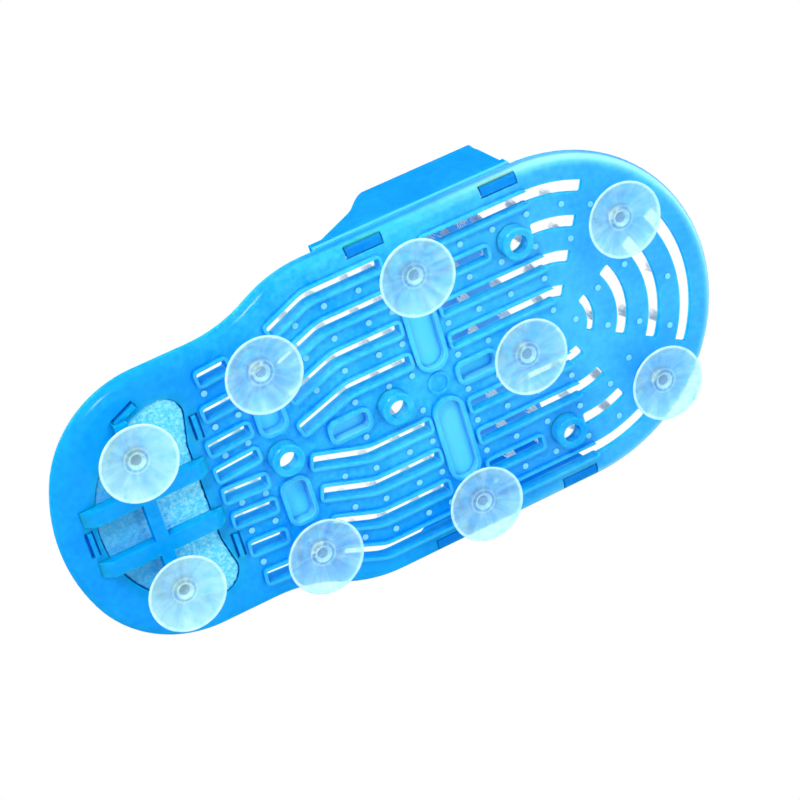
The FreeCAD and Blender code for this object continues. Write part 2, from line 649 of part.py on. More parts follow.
def sole_base():
    """The tray with its slots, pads, wells and windows, moulded as one piece."""
    collared = both_pairs(rear_slots() + front_slots() + heel_slots())
    walls, hollows = pads()
    wells = [cylinder(x, y, WELL_RADIUS, COLLAR_BOTTOM - 1, PLATE_TOP + 1) for x, y in boss_places()]
    dimples = [cylinder(x, y, DIMPLE_RADIUS, FLOOR_GAP - DIMPLE_HEIGHT, FLOOR_GAP + DIMPLE_INTO_PLATE)
               for x, y in sole_tuft_places()]
    body = open_tray().fuse([collar for cut, collar in collared] + walls + dimples + blind_rings())
    cuts = [cut for cut, collar in collared]
    cuts += both_sides(toe_cuts()) + toe_rings() + hollows + wells
    cuts += tab_windows() + clip_windows()
    return body.cut(cuts).removeSplitter()


def both_pairs(pairs):
    """Cut and collar pairs, with their mirror images."""
    cuts = both_sides([cut for cut, collar in pairs])
    collars = both_sides([collar for cut, collar in pairs])
    return list(zip(cuts, collars))


def sole_tuft_places():
    """Every tuft on the sole, left and right, and the one on the axis at the toe."""
    places = []
    for group in tuft_rows().values():
        for x, y in group:
            places += [(x, y), (x, -y)]
    places += axis_tufts()
    return places


def axis_tufts():
    return [(TOE_X + TUFT_LINES[0], 0.0), (TOE_X + TUFT_LINES[3], 0.0)]


def dish_arc(high, low):
    """Arc of the cup's section between two points, with its centre on the axis."""
    centre_z = (low.x ** 2 + low.z ** 2 - high.x ** 2 - high.z ** 2) / (2 * (low.z - high.z))
    radius = math.hypot(low.x, low.z - centre_z)
    middle_x = (high.x + low.x) / 2
    middle = V(middle_x, 0, centre_z + math.sqrt(radius ** 2 - middle_x ** 2))
    return Part.Arc(high, middle, low).toShape()


def suction_cup():
    """Soft cup with a stem and a head that snaps through the boss."""
    head_top = WELL_FLOOR + HEAD_HEIGHT
    slope_end = CUP_HUB_RADIUS + CUP_HUB_SLOPE
    ring_end = slope_end + CUP_RING_WIDTH
    ring_level = CUP_HOLLOW - CUP_RING_DROP
    shoulder_top = BOSS_BOTTOM - CUP_SHOULDER_DROP
    corners = [
        V(0, 0, CUP_HOLLOW), V(CUP_HUB_RADIUS, 0, CUP_HOLLOW), V(slope_end, 0, CUP_HOLLOW - CUP_HUB_DROP),
        V(ring_end, 0, ring_level), V(CUP_RADIUS - CUP_RIM_LAND, 0, 0), V(CUP_RADIUS, 0, 0),
        V(CUP_RADIUS, 0, CUP_LIP), V(CUP_SHOULDER_RADIUS, 0, shoulder_top),
        V(CUP_SHOULDER_RADIUS, 0, BOSS_BOTTOM), V(STEM_RADIUS, 0, BOSS_BOTTOM), V(STEM_RADIUS, 0, WELL_FLOOR),
        V(HEAD_RADIUS, 0, WELL_FLOOR), V(HEAD_RADIUS, 0, WELL_FLOOR + HEAD_BAND),
        V(HEAD_TIP_RADIUS, 0, head_top), V(0, 0, head_top), V(0, 0, CUP_HOLLOW),
    ]
    outline = []
    for start, end in zip(corners, corners[1:]):
        if start == corners[3]:
            outline.append(dish_arc(start, end))
        elif start == corners[6]:
            outline.append(dish_arc(end, start))
        else:
            outline.append(line(start, end))
    return closed_face(outline).revolve(V(0, 0, 0), V(0, 0, 1), 360)


def pumice_stone():
    """Stone that fills the heel opening and rests on the bars."""
    stone = prism(heel_opening(-STONE_CLEARANCE), BAR_TOP, BAR_TOP + STONE_HEIGHT)
    return stone.makeFillet(STONE_EDGE_ROUND, level_edges(stone, BAR_TOP + STONE_HEIGHT))


def stone_frame():
    """Frame round the stone, with ears over the windows and a snap tab through each."""
    inner = -STONE_CLEARANCE
    ring = prism(heel_opening(inner + FRAME_WALL), PLATE_TOP, PLATE_TOP + FRAME_HEIGHT)
    ring = ring.makeFillet(FRAME_EDGE_ROUND, level_edges(ring, PLATE_TOP + FRAME_HEIGHT))
    tabs = []
    for place, turn in tab_places():
        deep, wide = TAB_SIZES
        tabs.append(turned_box(place, turn, deep + FRAME_EAR_MARGIN, wide + 2 * FRAME_EAR_MARGIN,
                               PLATE_TOP, PLATE_TOP + FRAME_EAR_THICKNESS, -FRAME_EAR_MARGIN / 2))
        leg_inset = deep / 2 - TAB_CLEARANCE - TAB_LEG / 2 - BARB_REACH
        leg_bottom = FLOOR_GAP - SEAT_CLEARANCE - BARB_HEIGHT
        tabs.append(turned_box(place, turn, TAB_LEG, wide - 2 * TAB_CLEARANCE,
                               leg_bottom, PLATE_TOP + FRAME_EAR_THICKNESS, leg_inset))
    body = ring.fuse(tabs)
    return body.cut(prism(heel_opening(inner), PLATE_TOP - 1, PLATE_TOP + FRAME_HEIGHT + 1)).removeSplitter()


def arch_centres():
    """Plan side and height of the shoulder arc's centre, and the height of the crown arc's."""
    shoulder_y = STRAP_HALF_WIDTH - SHOULDER_RADIUS
    shoulder_z = RIM_TOP + STRAP_SIDE_HEIGHT
    drop = math.sqrt((CROWN_RADIUS - SHOULDER_RADIUS) ** 2 - shoulder_y ** 2)
    return shoulder_y, shoulder_z, shoulder_z - drop


def arch_face(x, inset):
    """Cross-section of the arch seen along its length, moved inwards by inset."""
    shoulder_y, shoulder_z, crown_z = arch_centres()
    turn = math.atan2(shoulder_z - crown_z, shoulder_y)
    side = STRAP_HALF_WIDTH - inset
    shoulder = SHOULDER_RADIUS - inset

    def on_shoulder(angle):
        return V(x, shoulder_y + shoulder * math.cos(angle), shoulder_z + shoulder * math.sin(angle))

    meet = on_shoulder(turn)
    half = [
        line(V(x, side, RIM_TOP), V(x, side, shoulder_z)),
        Part.Arc(V(x, side, shoulder_z), on_shoulder(turn / 2), meet).toShape(),
    ]
    edges = with_mirror(half)
    top = V(x, 0, crown_z + CROWN_RADIUS - inset)
    edges.append(Part.Arc(meet, top, V(x, -meet.y, meet.z)).toShape())
    edges.append(line(V(x, side, RIM_TOP), V(x, -side, RIM_TOP)))
    return closed_face(edges)


def strap_profile():
    """Side view of the strap, wide at the foot and leaning towards the toes at the crown."""
    rear = [V(STRAP_REAR_X + ratio * STRAP_LENGTH, 0, RIM_TOP + dz) for ratio, dz in STRAP_REAR_CORNERS]
    front = [V(STRAP_FRONT_X + ratio * STRAP_LENGTH, 0, RIM_TOP + dz) for ratio, dz in STRAP_FRONT_CORNERS]
    corners = [V(STRAP_REAR_X, 0, RIM_TOP), V(STRAP_REAR_X, 0, RIM_TOP + FLANGE_HEIGHT)]
    corners += rear + front[::-1] + [V(STRAP_FRONT_X, 0, RIM_TOP)]
    face = Part.Face(Part.makePolygon(corners + corners[:1]))
    solid = face.extrude(V(0, 3 * STRAP_HALF_WIDTH, 0))
    solid.translate(V(0, -1.5 * STRAP_HALF_WIDTH, 0))
    bends = []
    for edge in solid.Edges:
        if edge.BoundBox.YLength < STRAP_HALF_WIDTH:
            continue
        point = edge.CenterOfMass
        for corner in rear[:2] + front[:1]:
            if math.hypot(point.x - corner.x, point.z - corner.z) < 1e-4:
                bends.append(edge)
    return solid.makeFillet(STRAP_PROFILE_ROUND, bends)


def strap_clip(x, side):
    """Clip leg that hangs through a window, with a barb under the tray wall."""
    length = CLIP_WINDOW_LENGTH - 2 * CLIP_SIDE_GAP
    inner = CLIP_WINDOW_INNER + CLIP_SIDE_GAP
    bottom = FLOOR_GAP + CLIP_DROP_GAP
    leg = Part.makeBox(length, CLIP_LEG, RIM_TOP + FLANGE_HEIGHT - bottom, V(x - length / 2, inner, bottom))
    barb = Part.makeBox(length, CLIP_WINDOW_OUTER - inner, CLIP_BARB_HEIGHT, V(x - length / 2, inner, bottom))
    low_edge = [edge for edge in level_edges(barb, bottom)
                if edge.BoundBox.YLength < 1e-6 and edge.CenterOfMass.y > inner + 1]
    barb = barb.makeChamfer(CLIP_BARB_SLOPE, low_edge)
    clip = leg.fuse(barb)
    return clip if side > 0 else clip.mirror(V(0, 0, 0), V(0, 1, 0))


def instep_strap():
    """Arched strap with a foot flange on each rim and two clips a side."""
    x = STRAP_REAR_X - STRAP_SPARE
    reach = STRAP_LENGTH * (1 + STRAP_FRONT_CORNERS[-1][0]) + 2 * STRAP_SPARE
    wall = arch_face(x, 0).extrude(V(reach, 0, 0)).cut(arch_face(x - 1, STRAP_WALL).extrude(V(reach + 2, 0, 0)))
    band = wall.common(strap_profile())
    flanges = []
    outer = STRAP_HALF_WIDTH + FLANGE_PROUD
    for side in (1, -1):
        y = outer - FLANGE_WIDTH if side > 0 else -outer
        flanges.append(Part.makeBox(STRAP_LENGTH, FLANGE_WIDTH, FLANGE_HEIGHT, V(STRAP_REAR_X, y, RIM_TOP)))
        for end in (STRAP_REAR_X, STRAP_FRONT_X - FLANGE_END_LENGTH):
            flanges.append(Part.makeBox(FLANGE_END_LENGTH, FLANGE_WIDTH, FLANGE_END_HEIGHT, V(end, y, RIM_TOP)))
    clips = [strap_clip(x_clip, side) for x_clip, side in clip_places()]
    return band.fuse(flanges + clips).removeSplitter()


def tuft(base, axis, length):
    """Bundle of bristles, drawn as a slender tapered prism that fans out."""
    across = V(0, 0, 1).cross(axis)
    if across.Length < 1e-6:
        across = V(1, 0, 0)
    across.normalize()
    other = axis.cross(across).normalize()
    rings = []
    for radius, level in ((TUFT_ROOT_RADIUS, 0.0), (TUFT_TIP_RADIUS, length)):
        points = []
        for k in range(TUFT_SIDES):
            angle = 2 * math.pi * k / TUFT_SIDES
            points.append(base + axis * level + (across * math.cos(angle) + other * math.sin(angle)) * radius)
        rings.append(Part.makePolygon(points + points[:1]))
    return Part.makeLoft(rings, True, True)


def sole_tufts():
    """Named groups of tufts that stand on the sole."""
    groups = {}
    up = V(0, 0, 1)
    for area, places in tuft_rows().items():
        for side, name in ((1, "left"), (-1, "right")):
            solids = [tuft(V(x, side * y, PLATE_TOP), up, TUFT_LENGTH) for x, y in places]
            groups["bristles_" + area + "_" + name] = Part.makeCompound(solids)
    groups["bristles_toe_axis"] = Part.makeCompound(
        [tuft(V(x, y, PLATE_TOP), up, TUFT_LENGTH) for x, y in axis_tufts()])
    return groups


def strap_tufts():
    """Tufts that hang from the inside of the strap, square to its surface."""
    shoulder_y, shoulder_z, crown_z = arch_centres()
    crown_turn = math.atan2(shoulder_y, shoulder_z - crown_z)
    solids = []
    for ratio in STRAP_TUFT_ROWS:
        x = STRAP_REAR_X + ratio * STRAP_LENGTH
        for degrees in STRAP_TUFT_ANGLES:
            angle = math.radians(degrees)
            outwards = V(0, math.sin(angle), math.cos(angle))
            if abs(angle) <= crown_turn:
                centre = V(x, 0, crown_z)
                inside = CROWN_RADIUS - STRAP_WALL
            else:
                centre = V(x, math.copysign(shoulder_y, angle), shoulder_z)
                inside = SHOULDER_RADIUS - STRAP_WALL
            root = centre + outwards * (inside - STRAP_TUFT_GAP)
            solids.append(tuft(root, outwards * -1, STRAP_TUFT_LENGTH))
    return Part.makeCompound(solids)


def all_pieces():
    pieces = {
        "sole_base": sole_base(),
        "cup_bosses": Part.makeCompound(bosses(boss_places(), FLOOR_GAP)),
        "heel_bridge": heel_bridge(),
        "instep_strap": instep_strap(),
        "pumice_stone": pumice_stone(),
        "stone_frame": stone_frame(),
        "bristles_strap": strap_tufts(),
    }
    pieces.update(sole_tufts())
    for name, (x, y) in CUPS.items():
        cup = suction_cup()
        cup.translate(V(x, y, 0))
        pieces[name] = cup
    return pieces


os.makedirs("parts", exist_ok=True)
for name, shape in all_pieces().items():
    shape.exportStep("parts/" + name + ".step")
    box = shape.BoundBox
    print("%-26s solids %3d valid %s volume %9.1f  X %.2f..%.2f Y %.2f..%.2f Z %.2f..%.2f" % (
        name, len(shape.Solids), shape.isValid(), shape.Volume,
        box.XMin, box.XMax, box.YMin, box.YMax, box.ZMin, box.ZMax))
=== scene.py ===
# %% [markdown]
# A shower foot scrubber: a slipper-shaped tray of clear blue plastic that sticks to the shower
# floor on nine suction cups. It has a strap over the instep, tufts of nylon bristles and a
# pumice stone at the heel. The camera looks up at it from below, as if the floor were glass.
# The tray, the strap and the stone's frame come ready from the CAD model. This lesson gives them
# a surface, and models the soft and rough pieces that a CAD model can only hint at.

# %% Load the CAD model as a fixed frame
import math

import bmesh
import bpy
from mathutils import Matrix, Vector


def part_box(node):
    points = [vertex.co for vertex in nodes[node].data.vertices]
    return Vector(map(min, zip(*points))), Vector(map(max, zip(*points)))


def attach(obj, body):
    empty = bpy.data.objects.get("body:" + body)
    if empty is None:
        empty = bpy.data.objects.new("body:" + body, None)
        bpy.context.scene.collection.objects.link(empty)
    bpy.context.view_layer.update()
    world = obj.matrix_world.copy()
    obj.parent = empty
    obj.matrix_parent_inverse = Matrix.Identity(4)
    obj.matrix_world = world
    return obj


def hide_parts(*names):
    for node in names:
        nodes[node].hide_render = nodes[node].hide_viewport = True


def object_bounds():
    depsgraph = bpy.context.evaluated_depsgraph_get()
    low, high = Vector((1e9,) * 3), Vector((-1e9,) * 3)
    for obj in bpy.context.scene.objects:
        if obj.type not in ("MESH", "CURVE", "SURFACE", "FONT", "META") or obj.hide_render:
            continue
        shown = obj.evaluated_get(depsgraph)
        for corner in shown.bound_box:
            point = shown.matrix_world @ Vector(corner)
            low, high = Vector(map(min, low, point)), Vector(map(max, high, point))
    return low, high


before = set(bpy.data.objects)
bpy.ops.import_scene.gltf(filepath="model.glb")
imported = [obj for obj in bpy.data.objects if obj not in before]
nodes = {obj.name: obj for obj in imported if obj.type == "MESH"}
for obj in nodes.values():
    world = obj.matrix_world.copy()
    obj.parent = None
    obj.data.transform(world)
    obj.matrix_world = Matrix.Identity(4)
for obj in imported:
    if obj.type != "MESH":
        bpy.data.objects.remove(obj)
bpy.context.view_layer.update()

MM = 0.001
print("CAD nodes:", len(nodes))

# %% [markdown]
# Every later cell leans on a few helpers. Colours are written as hex values, as on a screen, and
# turned into the linear values that light adds up in.

# %% Helpers for colours, nodes and selections
def linear(hex_code):
    """Screen colour such as 1CA6F5, as the linear red, green, blue and alpha of a shader."""
    channels = [int(hex_code[k:k + 2], 16) / 255 for k in (0, 2, 4)]
    return [c / 12.92 if c <= 0.04045 else ((c + 0.055) / 1.055) ** 2.4 for c in channels] + [1.0]


def add_node(tree, kind, settings=None, inputs=None):
    """Adds a node, sets its properties and fills its inputs with values or other nodes' outputs."""
    node = tree.nodes.new(kind)
    for name, value in (settings or {}).items():
        setattr(node, name, value)
    for name, value in (inputs or {}).items():
        if isinstance(value, bpy.types.NodeSocket):
            tree.links.new(value, node.inputs[name])
        else:
            node.inputs[name].default_value = value
    return node


def new_material(name):
    material = bpy.data.materials.new(name)
    material.use_nodes = True
    material.node_tree.nodes.clear()
    return material, material.node_tree


def ramp(tree, factor, stops):
    """Colour ramp with the given (position, hex colour) stops."""
    node = add_node(tree, "ShaderNodeValToRGB", inputs={"Fac": factor})
    elements = node.color_ramp.elements
    while len(elements) < len(stops):
        elements.new(0.5)
    for element, (position, hex_code) in zip(elements, stops):
        element.position = position
        element.color = linear(hex_code)
    return node.outputs["Color"]


def deselect():
    if bpy.context.object and bpy.context.object.mode != "OBJECT":
        bpy.ops.object.mode_set(mode="OBJECT")
    bpy.ops.object.select_all(action="DESELECT")


def choose(piece):
    """Makes one object the only one selected, and the active one."""
    deselect()
    piece.select_set(True)
    bpy.context.view_layer.objects.active = piece


# %% [markdown]
# The photograph looks up at the underside from the heel's left, with a long lens. The camera
# stands nearly a metre away, below the floor, and its axes are written as three directions.

# %% Camera
CAMERA_PLACE = Vector((-247.2, -434.76, -823.81)) * MM
CAMERA_RIGHT = Vector((0.8758, 0.2703, -0.3999)).normalized()
CAMERA_BACK = Vector((-0.2544, -0.4455, -0.8584)).normalized()
CAMERA_UP = CAMERA_BACK.cross(CAMERA_RIGHT).normalized()
SENSOR_WIDTH = 36.0
FOCAL_PIXELS = 2627.33
PICTURE_WIDTH = 800

camera_data = bpy.data.cameras.new("photo_camera")
camera_data.sensor_width = SENSOR_WIDTH
camera_data.lens = FOCAL_PIXELS * SENSOR_WIDTH / PICTURE_WIDTH
camera_data.clip_start = 0.05
camera_data.clip_end = 20
camera = bpy.data.objects.new("photo_camera", camera_data)
bpy.context.scene.collection.objects.link(camera)
axes = Matrix((CAMERA_BACK.cross(CAMERA_UP) * -1, CAMERA_UP, CAMERA_BACK)).transposed()
camera.matrix_world = Matrix.Translation(CAMERA_PLACE) @ axes.to_4x4()
bpy.context.scene.camera = camera
print("Lens %.1f mm" % camera_data.lens)

# %% [markdown]
# The light is a plain studio: a white surround, two soft lamps above and three below. The floor
# has one side only. A camera above sees a pale floor that holds the shadow and turns to plain
# white further out. From below, and for every other ray, it isn't there, which lets the camera
# and the light look up through it.

# %% Surround
scene = bpy.context.scene
scene.view_settings.view_transform = "Standard"
world = bpy.data.worlds.new("white_studio")
scene.world = world
world.use_nodes = True
tree = world.node_tree
tree.nodes.clear()
AMBIENT = 0.8
path = add_node(tree, "ShaderNodeLightPath")
seen = add_node(tree, "ShaderNodeMath", {"operation": "MAXIMUM"},
                {0: path.outputs["Is Camera Ray"], 1: path.outputs["Is Glossy Ray"]})
seen = add_node(tree, "ShaderNodeMath", {"operation": "MAXIMUM"},
                {0: seen.outputs[0], 1: path.outputs["Is Transmission Ray"]})
level = add_node(tree, "ShaderNodeMapRange",
                 inputs={"Value": seen.outputs[0], "To Min": AMBIENT, "To Max": 1.0})
backdrop = add_node(tree, "ShaderNodeBackground",
                    inputs={"Color": linear("FFFFFF"), "Strength": level.outputs[0]})
add_node(tree, "ShaderNodeOutputWorld", inputs={"Surface": backdrop.outputs[0]})
print("Ambient light", AMBIENT)

# %% Lamps
lowest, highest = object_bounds()
middle = (lowest + highest) / 2


def soft_lamp(name, direction, distance, width, power):
    """Square lamp at a direction from the object's middle, facing it, and hidden from the camera."""
    data = bpy.data.lights.new(name, "AREA")
    data.size = width
    data.energy = power
    lamp = bpy.data.objects.new(name, data)
    scene.collection.objects.link(lamp)
    towards = Vector(direction).normalized()
    lamp.location = middle + towards * distance
    lamp.rotation_euler = towards.to_track_quat("Z", "Y").to_euler()
    lamp.visible_camera = False
    return lamp


soft_lamp("key_above", (-0.5, -0.6, 1.0), 1.4, 0.9, 8.0)
soft_lamp("fill_above", (0.9, 0.8, 0.9), 1.5, 1.2, 5.0)
soft_lamp("key_below", (-0.53, -1.1, -0.75), 1.3, 0.2, 7.0)
soft_lamp("edge_below", (0.75, -0.9, -0.35), 1.3, 0.18, 2.0)
soft_lamp("cup_below", (0.4, -0.24, -0.88), 1.4, 0.5, 4.0)

# %% Floor
FLOOR_SIZE = 6.0
FLOOR_BELOW = 0.2 * MM
FADE_FROM = 0.3
FADE_TO = 0.9
deselect()
bpy.ops.mesh.primitive_plane_add(size=FLOOR_SIZE, location=(0, 0, -FLOOR_BELOW))
floor = bpy.context.object
floor.name = "floor"
floor_paint, tree = new_material("one_sided_floor_paint")
path = add_node(tree, "ShaderNodeLightPath")
side = add_node(tree, "ShaderNodeNewGeometry")
shown = add_node(tree, "ShaderNodeMath", {"operation": "SUBTRACT", "use_clamp": True},
                 {0: path.outputs["Is Camera Ray"], 1: side.outputs["Backfacing"]})
paint = add_node(tree, "ShaderNodeBsdfDiffuse", inputs={"Color": linear("F4F5F6")})
place = add_node(tree, "ShaderNodeTexCoord").outputs["Object"]
away = add_node(tree, "ShaderNodeVectorMath", {"operation": "LENGTH"}, {0: place})
far = add_node(tree, "ShaderNodeMapRange",
               inputs={"Value": away.outputs["Value"], "From Min": FADE_FROM, "From Max": FADE_TO})
white = add_node(tree, "ShaderNodeEmission", inputs={"Color": linear("FFFFFF"), "Strength": 1.0})
paint = add_node(tree, "ShaderNodeMixShader",
                 inputs={0: far.outputs[0], 1: paint.outputs[0], 2: white.outputs[0]})
clear = add_node(tree, "ShaderNodeBsdfTransparent")
either = add_node(tree, "ShaderNodeMixShader",
                  inputs={0: shown.outputs[0], 1: clear.outputs[0], 2: paint.outputs[0]})
add_node(tree, "ShaderNodeOutputMaterial", inputs={"Surface": either.outputs[0]})
floor.data.materials.append(floor_paint)
print("Floor %.0f m wide" % FLOOR_SIZE)

# %% [markdown]
# The tray and strap are injection-moulded polypropylene, dyed a clear azure. The plastic clouds
# the light, which goes in at one place and comes out at another, so thin walls glow. Subsurface
# scattering gives that cloud, and the skin's own reflection is off, because it laid a white veil
# over the blue. A faint separate sheen carries the highlights along the rounded edges.
# The colour changes from place to place. It is deeper at the heel and paler at the toe, and
# deeper on the +Y side, which is painted shade. Corners and some walls are painted deeper as
# shade too, and some thin or rounded places are painted paler as light.

# %% Helpers for patterns and masks
LEVEL_BLUR = 0.05


def object_space(tree):
    return add_node(tree, "ShaderNodeTexCoord").outputs["Object"]


def pattern_scale(size_mm):
    """Scale of a texture whose features are about size_mm across on the object."""
    return 1 / (size_mm * MM)


def faces_up(tree):
    """How far the surface faces up: 1 for up, 0 for a wall and -1 for down."""
    surface = add_node(tree, "ShaderNodeNewGeometry")
    return add_node(tree, "ShaderNodeSeparateXYZ", inputs={"Vector": surface.outputs["Normal"]}).outputs["Z"]


def rises(tree, value, low, high, top=1.0):
    """Mask that is 0 up to low, rises to top at high, and stays level. Low may be above high."""
    return add_node(tree, "ShaderNodeMapRange", inputs={"Value": value, "From Min": low, "From Max": high,
                                                        "To Max": top}).outputs[0]


def below(tree, value, limit):
    """Mask that is 1 where a value lies below a limit."""
    return add_node(tree, "ShaderNodeMath", {"operation": "LESS_THAN"}, {0: value, 1: limit}).outputs[0]


def all_of(tree, mask, *others):
    """Mask that is as strong as all the given masks together."""
    for other in others:
        mask = add_node(tree, "ShaderNodeMath", {"operation": "MULTIPLY"}, {0: mask, 1: other}).outputs[0]
    return mask


def band(tree, value, low, high):
    """Mask that is 1 where a value lies between two limits, with a narrow blur."""
    return all_of(tree, rises(tree, value, low - LEVEL_BLUR, low + LEVEL_BLUR),
                  rises(tree, value, high + LEVEL_BLUR, high - LEVEL_BLUR))


def laid_over(tree, mask, dye_and_light, colour):
    """Dye with a second colour over it where the mask is. The colour is an output or hex."""
    blend = add_node(tree, "ShaderNodeMix", {"data_type": "RGBA"}, {0: mask, 6: dye_and_light})
    if isinstance(colour, str):
        blend.inputs[7].default_value = linear(colour)
    else:
        tree.links.new(colour, blend.inputs[7])
    return blend.outputs[2]


# %% [markdown]
# The pads are hollow from below, so their tops are thin. Their tops are painted paler, as if lit
# through: painted light. Where they are is known from the tray's own measures, so their places
# are written in mm and turned into a mask.

# %% Hollow pads
# Middle along and across, length, width and corner radius, in mm, for one of each mirrored pair.
PADS = ((17.3, 23.9, 10.2, 33.0, 5.0), (-48.1, 19.15, 9.1, 16.5, 3.0),
        (-20.7, 0.0, 14.9, 6.8, 2.0), (33.3, 0.0, 14.9, 6.8, 2.0))
PAD_SPARE = 0.15
PAD_LIGHT_THROUGH = "62D0F8"
PAD_STRENGTH = 0.9
PAD_SIDES = 0.5


def one_side(tree, in_mm):
    """Place in plan with Y made positive, so that one pad stands for a mirrored pair."""
    both = add_node(tree, "ShaderNodeVectorMath", {"operation": "ABSOLUTE"}, {0: in_mm})
    across = add_node(tree, "ShaderNodeVectorMath", {"operation": "MULTIPLY"},
                      {0: both.outputs[0], 1: (0.0, 1.0, 0.0)})
    along = add_node(tree, "ShaderNodeVectorMath", {"operation": "MULTIPLY"}, {0: in_mm, 1: (1.0, 0.0, 0.0)})
    plan = add_node(tree, "ShaderNodeVectorMath", {"operation": "ADD"},
                    {0: across.outputs[0], 1: along.outputs[0]})
    return plan.outputs[0]


def over_pads(tree, plan):
    """Mask over the rounded oblongs of the pads."""
    covered = 0.0
    for x, y, length, width, corner in PADS:
        off = add_node(tree, "ShaderNodeVectorMath", {"operation": "SUBTRACT"}, {0: plan, 1: (x, y, 0.0)})
        off = add_node(tree, "ShaderNodeVectorMath", {"operation": "ABSOLUTE"}, {0: off.outputs[0]})
        past = add_node(tree, "ShaderNodeVectorMath", {"operation": "SUBTRACT"},
                        {0: off.outputs[0], 1: (length / 2 - corner, width / 2 - corner, 0.0)})
        past = add_node(tree, "ShaderNodeVectorMath", {"operation": "MAXIMUM"},
                        {0: past.outputs[0], 1: (0.0, 0.0, 0.0)})
        reach = add_node(tree, "ShaderNodeVectorMath", {"operation": "LENGTH"}, {0: past.outputs[0]})
        hit = below(tree, reach.outputs["Value"], corner + PAD_SPARE)
        covered = add_node(tree, "ShaderNodeMath", {"operation": "MAXIMUM"}, {0: hit, 1: covered}).outputs[0]
    return covered


print("Pads in the mask:", len(PADS))

# %% [markdown]
# The tray has more places: a paler rolled rim at the toe and paler lips of the collars, which are
# painted light, pale roots of the tufts, and deeper steep walls, which are painted shade. Each is
# a mask by level, place or slope, with a colour laid over the dye. All levels and places are in
# mm, from the floor and the tray's middle.

# %% Places of the tray
DEEP_DYE_AND_SHADE = "0070DC"
RIM_LEVELS = (13.05, 14.5)
UNDERSIDE = -0.02
WALL_UNDERSIDE = -0.01
LEVEL_FACING = -0.9
PLATE_DEEPENING = 0.22
LIT_LIP_AND_ROOT_LEVELS = ((11.2, 11.6, "7CDCFF", 0.14), (12.76, 12.9, "84E2FC", 1.0))
STEEP_SLOPE = (-0.6, -0.35)
STEEP_X = (-40.0, -10.0)
STEEP_SHADE_STRENGTH = 0.7


def tray_places(tree, dye_and_light, lit_toe_rim, at_toe, in_mm):
    """The tray's colour with its paler and deeper places laid over it: painted light on the toe rim, the
    collar lips and the pad tops, and painted shade on the sloping walls.
    """
    x, _, z = add_node(tree, "ShaderNodeSeparateXYZ", inputs={"Vector": in_mm}).outputs
    upward = faces_up(tree)
    rim = rises(tree, z, *RIM_LEVELS)
    # Painted light: the rolled rim at the toe is made paler where it faces down.
    dye_and_light = laid_over(tree, all_of(tree, rim, at_toe, below(tree, upward, UNDERSIDE)), dye_and_light, lit_toe_rim)
    plate = add_node(tree, "ShaderNodeMath", {"operation": "SUBTRACT"}, {0: 1.0, 1: rim}).outputs[0]
    dye_and_light = laid_over(tree, all_of(tree, plate, at_toe, PLATE_DEEPENING), dye_and_light, DEEP_DYE_AND_SHADE)
    level = below(tree, upward, LEVEL_FACING)
    # The collar lips are painted paler, a painted highlight; the tuft roots are pale as well.
    for low, high, hex_code, strength in LIT_LIP_AND_ROOT_LEVELS:
        dye_and_light = laid_over(tree, all_of(tree, band(tree, z, low, high), level, strength), dye_and_light, hex_code)
    # Painted light: the thin pad tops are made paler, as if lit through.
    hollow = all_of(tree, over_pads(tree, one_side(tree, in_mm)), below(tree, upward, PAD_SIDES))
    dye_and_light = laid_over(tree, all_of(tree, hollow, PAD_STRENGTH), dye_and_light, PAD_LIGHT_THROUGH)
    # Painted shade: walls that slope steeply down are made deeper, more so towards the toe.
    steep_shade = all_of(tree, rises(tree, upward, *STEEP_SLOPE), below(tree, upward, WALL_UNDERSIDE))
    return laid_over(tree, all_of(tree, steep_shade, rises(tree, x, *STEEP_X, STEEP_SHADE_STRENGTH)), dye_and_light, DEEP_DYE_AND_SHADE)


# %% Places of the strap
STRAP_FOOT = (18.0, 21.6)
STRAP_FOOT_DYE = "48BCF2"
INSIDE_SLOPE = (-0.3, -0.7)
INSIDE_STRENGTH = 0.7
INSIDE_Z = (30.0, 50.0)


def strap_places(tree, dye_and_light, inside_light, in_mm):
    """The strap's colour with a pale foot and a pale inner face, which is painted light, as if
    light came through the strap. The photograph doesn't show the inner face, but the slots in
    front of it look nearly white there."""
    z = add_node(tree, "ShaderNodeSeparateXYZ", inputs={"Vector": in_mm}).outputs["Z"]
    dye_and_light = laid_over(tree, band(tree, z, *STRAP_FOOT), dye_and_light, STRAP_FOOT_DYE)
    # Painted light: the strap's inner face is made paler where it faces down.
    inside = all_of(tree, rises(tree, faces_up(tree), *INSIDE_SLOPE, INSIDE_STRENGTH),
                    rises(tree, z, *INSIDE_Z))
    return laid_over(tree, inside, dye_and_light, inside_light)


# %% [markdown]
# Both plastics now come from one recipe. Three noises of real sizes are used: clouds in the dye,
# finer flecks, and shallow ripples that the mould leaves on the skin.

# %% Azure plastic
CLOUD_SIZE = 24.0
FLECK_SIZE = 2.6
FLECK_SHARE = 0.4
RIPPLE_SIZE = 7.0
RIPPLE_DEPTH = 0.3
CORNER_SHADE_REACH = 1.3
HEEL_X, TOE_X = -95.0, -20.0
RIM_X = (20.0, 80.0)
SHADED_Y = (12.0, 52.0)
MOTTLE = (0.38, 0.62)
GRAZING = (0.55, 0.98, 0.75)
CORNER_SHADE = (0.95, 0.4, 0.4)


def mottled(tree, mottle, colours):
    """Deep to pale colour of one end of the tray, through the clouds of the dye."""
    return ramp(tree, mottle, tuple(zip(MOTTLE, colours)))


